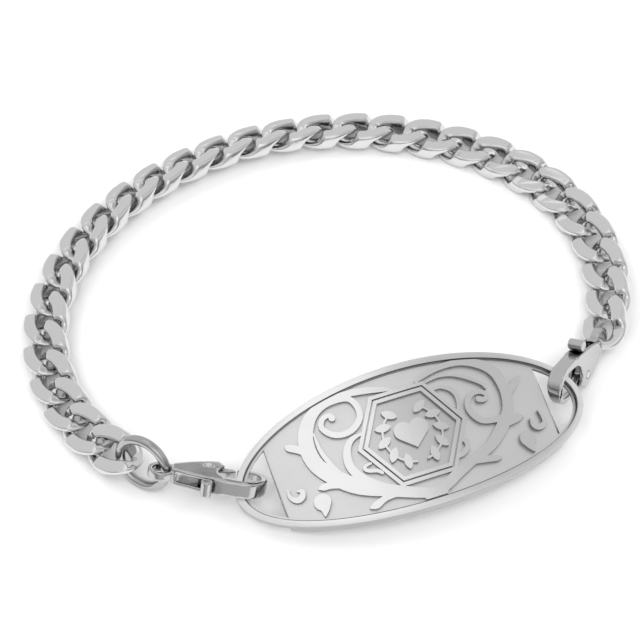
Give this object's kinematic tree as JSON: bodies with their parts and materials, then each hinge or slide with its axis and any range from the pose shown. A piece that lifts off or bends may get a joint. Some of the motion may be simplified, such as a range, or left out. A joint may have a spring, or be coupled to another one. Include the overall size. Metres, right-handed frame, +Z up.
{
  "type": "medical alert bracelet",
  "caption": "Curb-chain wrist bracelet with a curved oval plate, raised scrolls and a six-sided frame, held by a lobster clasp at each end.",
  "frame": {"origin": "on the table, under the middle of the closed loop's box", "axes": "+Z up from the table; +Y away from the plate, towards the back of the loop; +X to the wearer's right of the plate as the picture shows it"},
  "size_m": [0.0756, 0.0671, 0.009],
  "materials": {
    "chain_steel": "polished stainless steel",
    "plate_steel": "satin ground with polished rim and raised scrolls",
    "clasp_steel": "polished cast stainless steel",
    "pin_steel": "ground pin ends"
  },
  "bodies": {
    "bracelet": {"link_01": "chain_steel", "link_02": "chain_steel", "link_03": "chain_steel", "link_04": "chain_steel", "link_05": "chain_steel", "link_06": "chain_steel", "link_07": "chain_steel", "link_08": "chain_steel", "link_09": "chain_steel", "link_10": "chain_steel", "link_11": "chain_steel", "link_12": "chain_steel", "link_13": "chain_steel", "link_14": "chain_steel", "link_15": "chain_steel", "link_16": "chain_steel", "link_17": "chain_steel", "link_18": "chain_steel", "link_19": "chain_steel", "link_20": "chain_steel", "link_21": "chain_steel", "link_22": "chain_steel", "link_23": "chain_steel", "link_24": "chain_steel", "link_25": "chain_steel", "link_26": "chain_steel", "link_27": "chain_steel", "link_28": "chain_steel", "link_29": "chain_steel", "jump_ring": "chain_steel", "plate": "plate_steel", "clasp_left": "clasp_steel", "pin_left": "pin_steel", "clasp_right": "clasp_steel", "pin_right": "pin_steel"},
    "lever_left": {"lever_left": "clasp_steel"},
    "lever_right": {"lever_right": "clasp_steel"}
  },
  "joints": [
    {"name": "lever_left_hinge", "type": "hinge", "parent": "bracelet", "child": "lever_left", "pos_m": [-0.01426, -0.02569, 0.00282], "axis": [-0.1272, -0.4894, -0.8627], "range_deg": [0, 18], "stiffness_Nm_per_rad": 0.01},
    {"name": "lever_right_hinge", "type": "hinge", "parent": "bracelet", "child": "lever_right", "pos_m": [0.03078, -0.01041, 0.00196], "axis": [-0.8416, 0.4479, -0.3019], "range_deg": [0, 18], "stiffness_Nm_per_rad": 0.01}
  ]
}
